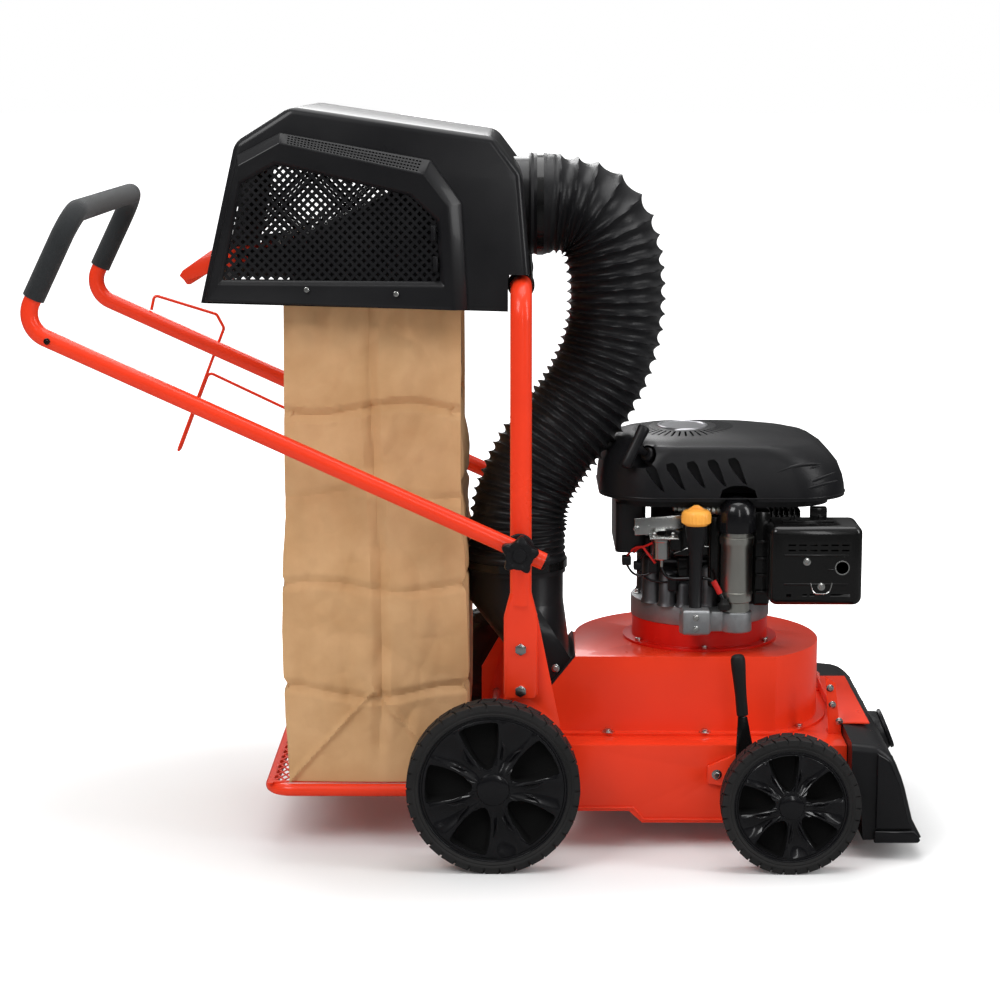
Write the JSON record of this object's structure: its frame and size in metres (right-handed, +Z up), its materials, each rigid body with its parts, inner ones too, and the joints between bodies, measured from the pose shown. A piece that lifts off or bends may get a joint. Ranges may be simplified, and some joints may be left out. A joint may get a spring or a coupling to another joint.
{
  "type": "leaf vacuum",
  "caption": "Walk-behind leaf vacuum and mulcher: wheeled impeller deck with engine, duct hose, vented hood over a paper bag, and a folding push handle",
  "frame": {"origin": "on the ground under the middle of the machine's bounding box", "axes": "+X forward to the nozzle, +Y to the machine's left, +Z up"},
  "size_m": [1.3131, 0.7, 1.107],
  "materials": {
    "red_powder_coat": "gloss powder coat",
    "black_hood_plastic": "semi-gloss",
    "black_steel": "satin",
    "black_gloss_plastic": "gloss",
    "tyre_rubber": "matt",
    "black_moulding": "satin",
    "soft_rubber": "matt",
    "foam": "matt foam",
    "hose_fabric": "coated fabric",
    "rope": "woven",
    "kraft_paper": "matt",
    "zinc": "bright zinc",
    "cast_aluminium": "cast",
    "starter_silver": "satin",
    "steel": "plain",
    "orange_plastic": "satin"
  },
  "bodies": {
    "chassis": {"bag_tray_frame": "red_powder_coat", "bag_tray_mesh": "red_powder_coat", "cover_badge": "cast_aluminium", "crankcase": "cast_aluminium", "cylinder_block": "black_steel", "deck_bolts": "zinc", "deck_housing": "red_powder_coat", "discharge_chute": "black_hood_plastic", "engine_adapter": "red_powder_coat", "engine_cover": "black_moulding", "engine_shroud": "black_moulding", "engine_sump": "cast_aluminium", "frame_hoop": "red_powder_coat", "hoop_bolts": "zinc", "knob_saddles": "black_moulding", "lower_hose_clamp": "zinc", "muffler": "black_steel", "muffler_guard": "black_steel", "nozzle": "black_hood_plastic", "nozzle_bracket": "red_powder_coat", "oil_filler_tube": "black_moulding", "paper_bag": "kraft_paper", "rear_axle": "zinc", "rear_frame": "red_powder_coat", "starter_dome": "black_moulding", "starter_electrics": "black_moulding", "starter_motor": "starter_silver", "volute_cover": "red_powder_coat"},
    "rotor": {"impeller": "steel", "crankshaft": "steel"},
    "rear_wheel_right": {"rear_tyre_right": "tyre_rubber", "rear_rim_right": "black_gloss_plastic"},
    "rear_wheel_left": {"rear_tyre_left": "tyre_rubber", "rear_rim_left": "black_gloss_plastic"},
    "front_wheel_right": {"front_tyre_right": "tyre_rubber", "front_rim_right": "black_gloss_plastic"},
    "front_wheel_left": {"front_tyre_left": "tyre_rubber", "front_rim_left": "black_gloss_plastic"},
    "carriage": {"front_carriage": "red_powder_coat", "height_lever": "black_steel", "lever_grip": "soft_rubber"},
    "handle": {"handle_tube": "red_powder_coat", "foam_grip": "foam", "hose_hanger": "red_powder_coat"},
    "knob_right": {"star_knob_right": "black_moulding"},
    "knob_left": {"star_knob_left": "black_moulding"},
    "hood": {"hood_shell": "black_hood_plastic", "hood_window_right": "black_hood_plastic", "hood_window_left": "black_hood_plastic", "hood_screws": "zinc", "hood_hinges": "black_steel", "hood_duct": "black_hood_plastic", "inlet_collar": "black_hood_plastic", "upper_hose_clamp": "zinc", "duct_hose": "hose_fabric"},
    "clamp_lever": {"bag_clamp_lever": "red_powder_coat"},
    "pull": {"starter_grip": "black_moulding", "starter_rope": "rope"},
    "oil_cap": {"oil_cap": "orange_plastic"},
    "port_cap": {"port_cap": "black_moulding"}
  },
  "joints": [
    {"name": "rotor_spin", "type": "hinge", "parent": "chassis", "child": "rotor", "pos_m": [0.348, 0, 0.25], "axis": [0, 0, 1], "continuous": true},
    {"name": "rear_wheel_right_spin", "type": "hinge", "parent": "chassis", "child": "rear_wheel_right", "pos_m": [0.027, -0.328, 0.127], "axis": [0, 1, 0], "continuous": true},
    {"name": "rear_wheel_left_spin", "type": "hinge", "parent": "chassis", "child": "rear_wheel_left", "pos_m": [0.027, 0.328, 0.127], "axis": [0, 1, 0], "continuous": true},
    {"name": "height_lift", "type": "hinge", "parent": "chassis", "child": "carriage", "pos_m": [0.361, 0, 0.117], "axis": [0, 1, 0], "range_deg": [-12, 12]},
    {"name": "front_wheel_right_spin", "type": "hinge", "parent": "carriage", "child": "front_wheel_right", "pos_m": [0.461, -0.328, 0.1016], "axis": [0, 1, 0], "continuous": true},
    {"name": "front_wheel_left_spin", "type": "hinge", "parent": "carriage", "child": "front_wheel_left", "pos_m": [0.461, 0.328, 0.1016], "axis": [0, 1, 0], "continuous": true},
    {"name": "handle_fold", "type": "hinge", "parent": "chassis", "child": "handle", "pos_m": [0.065, 0, 0.471], "axis": [0, 1, 0], "range_deg": [0, 110]},
    {"name": "knob_right_turn", "type": "hinge", "parent": "chassis", "child": "knob_right", "pos_m": [0.065, -0.32, 0.471], "axis": [0, 1, 0], "continuous": true},
    {"name": "knob_left_turn", "type": "hinge", "parent": "chassis", "child": "knob_left", "pos_m": [0.065, 0.32, 0.471], "axis": [0, 1, 0], "continuous": true},
    {"name": "hood_tilt", "type": "hinge", "parent": "chassis", "child": "hood", "pos_m": [0.067, 0, 0.846], "axis": [0, 1, 0], "range_deg": [0, 40], "deforming": ["duct_hose"]},
    {"name": "bag_clamp", "type": "hinge", "parent": "hood", "child": "clamp_lever", "pos_m": [-0.338, 0, 0.885], "axis": [0, 1, 0], "range_deg": [0, 45]},
    {"name": "starter_pull", "type": "slide", "parent": "chassis", "child": "pull", "axis": [-0.5, -0.75, 0.433], "range_m": [0, 0.35], "stiffness_N_per_m": 20, "deforming": ["starter_rope"]},
    {"name": "oil_cap_turn", "type": "hinge", "parent": "chassis", "child": "oil_cap", "pos_m": [0.331, -0.147, 0.49], "axis": [0, 0, 1], "continuous": true},
    {"name": "port_cap_swing", "type": "hinge", "parent": "chassis", "child": "port_cap", "pos_m": [0.6322, 0, 0.1617], "axis": [0, 1, 0], "range_deg": [-90, 0]}
  ]
}
